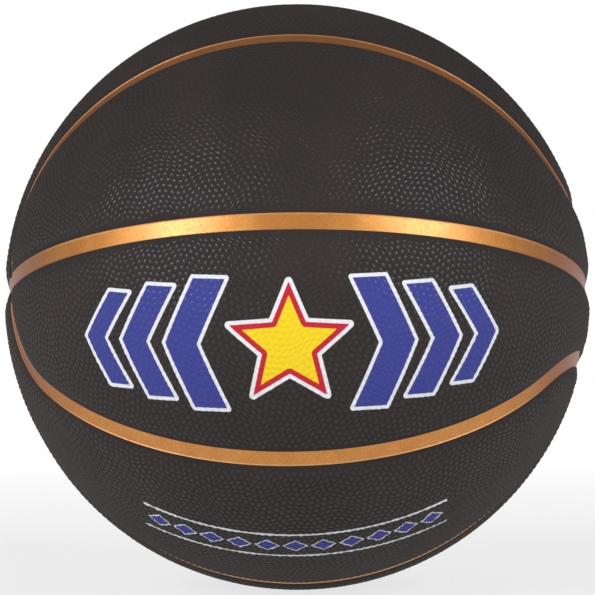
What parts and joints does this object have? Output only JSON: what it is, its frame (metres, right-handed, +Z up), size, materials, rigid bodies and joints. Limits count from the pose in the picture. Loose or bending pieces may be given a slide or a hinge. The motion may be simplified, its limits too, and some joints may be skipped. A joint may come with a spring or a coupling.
{
  "type": "basketball",
  "caption": "Inflated rubber basketball with eight pebbled cover panels, recessed coloured channels and a replaceable needle valve.",
  "frame": {"origin": "centre of the ball", "axes": "+Z up as the ball is shown, -Y to the front, +Y out along the valve at the back, +X to the right as seen from the front"},
  "size_m": [0.239, 0.2399, 0.24],
  "materials": {
    "cover_rubber": "pebbled charcoal rubber with a soft sheen",
    "channel_paint": "metallic gold paint on rubber",
    "carcass_rubber": "matt black rubber",
    "nylon_thread": "wound nylon thread set in latex",
    "butyl": "smooth black butyl",
    "valve_rubber": "smooth dark rubber"
  },
  "bodies": {
    "ball": {"panel_front_upper": "cover_rubber", "panel_front_lower": "cover_rubber", "panel_crown_front": "cover_rubber", "panel_base_front": "cover_rubber", "panel_back_upper": "cover_rubber", "panel_back_lower": "cover_rubber", "panel_crown_back": "cover_rubber", "panel_base_back": "cover_rubber", "channel_waist": "channel_paint", "channel_over_crown": "channel_paint", "channel_under_base": "channel_paint", "channel_front_upper": "channel_paint", "channel_front_lower": "channel_paint", "channel_back_upper": "channel_paint", "channel_back_lower": "channel_paint", "carcass": "carcass_rubber", "nylon_winding": "nylon_thread", "bladder": "butyl", "valve_boot": "valve_rubber"},
    "plug": {"valve_plug": "valve_rubber"}
  },
  "joints": [
    {"name": "plug_slide", "type": "slide", "parent": "ball", "child": "plug", "axis": [0, 1, 0], "range_m": [0, 0.018]}
  ]
}
